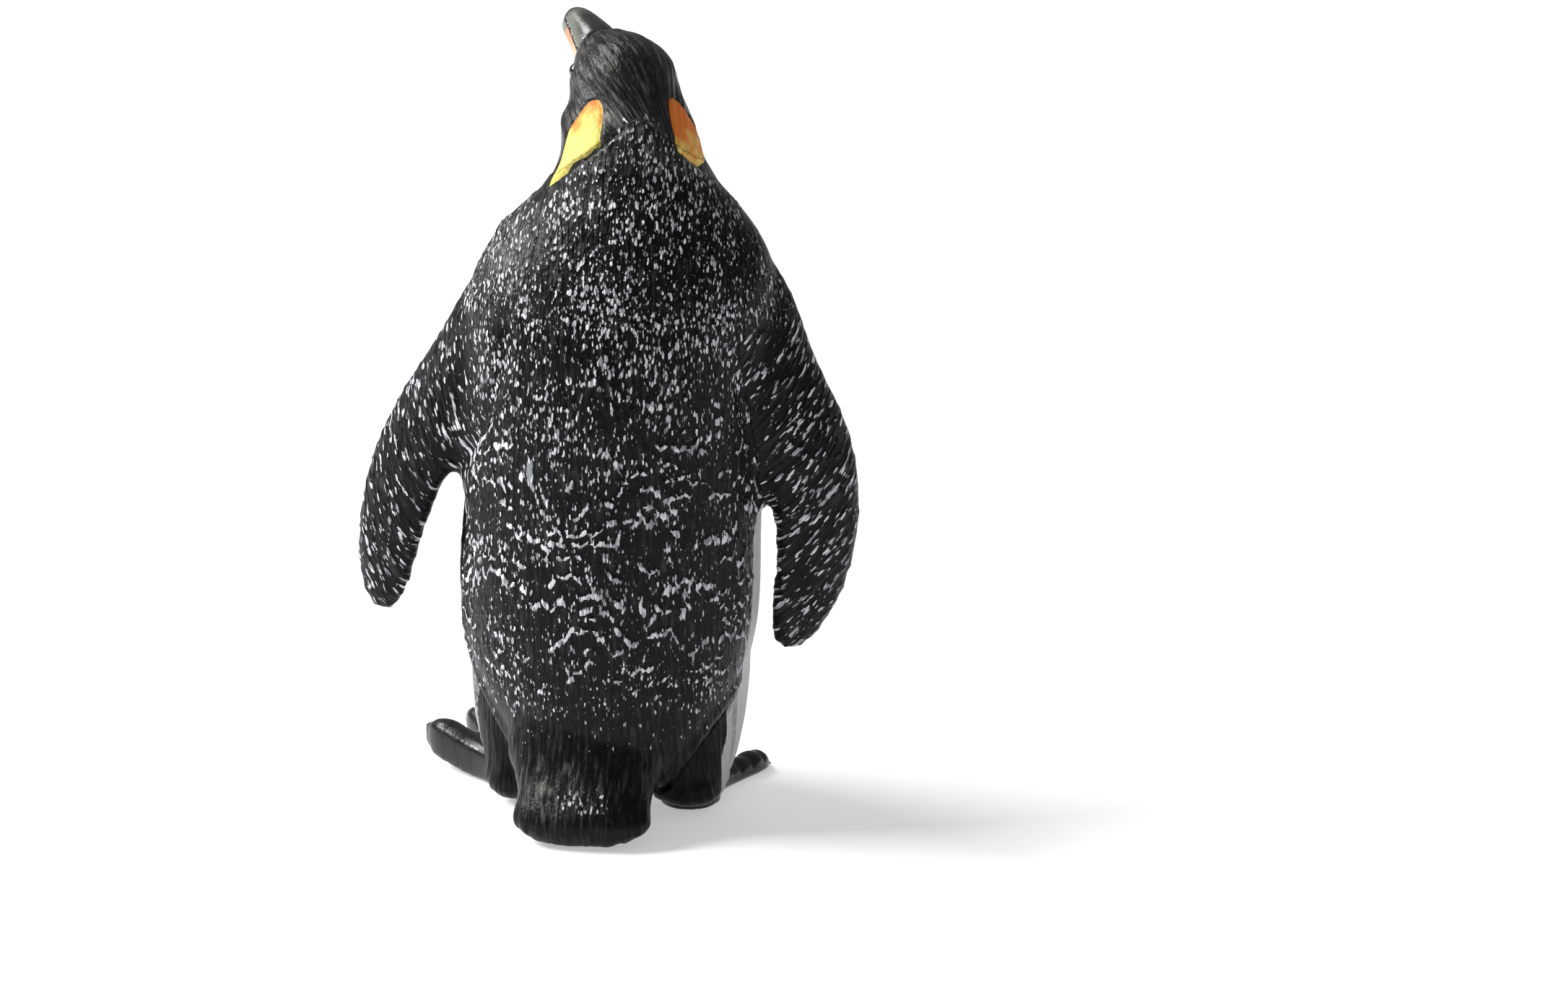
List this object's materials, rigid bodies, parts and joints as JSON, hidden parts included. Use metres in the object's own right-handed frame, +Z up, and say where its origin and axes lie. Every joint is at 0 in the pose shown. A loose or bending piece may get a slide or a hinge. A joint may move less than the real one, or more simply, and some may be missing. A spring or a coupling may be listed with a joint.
{
  "type": "penguin figurine",
  "caption": "Small painted plastic figurine of a standing emperor penguin that looks up over its left shoulder, with flippers held out, assembled from plug-jointed mouldings.",
  "frame": {"origin": "bottom centre of the whole figure's box, on the surface that it stands on", "axes": "+Z up, the bird's breast faces -Y, its left side is +X"},
  "size_m": [0.038, 0.0236, 0.0587],
  "materials": {
    "black_plumage": "satin black paint with white dry brushing on the feather tips",
    "white_plumage": "satin white paint",
    "ear_yellow": "yellow paint airbrushed with orange",
    "bill_dark": "glossy dark grey paint",
    "foot_black": "glossy black paint"
  },
  "bodies": {
    "root": {"back": "black_plumage", "belly": "white_plumage", "ear_patch_left": "ear_yellow", "ear_patch_right": "ear_yellow", "flipper_left": "black_plumage", "flipper_right": "black_plumage", "foot_left": "foot_black", "foot_right": "foot_black", "head": "black_plumage", "leg_left": "black_plumage", "leg_right": "black_plumage", "lower_bill": "bill_dark", "tail": "black_plumage", "upper_bill": "bill_dark"}
  },
  "joints": []
}
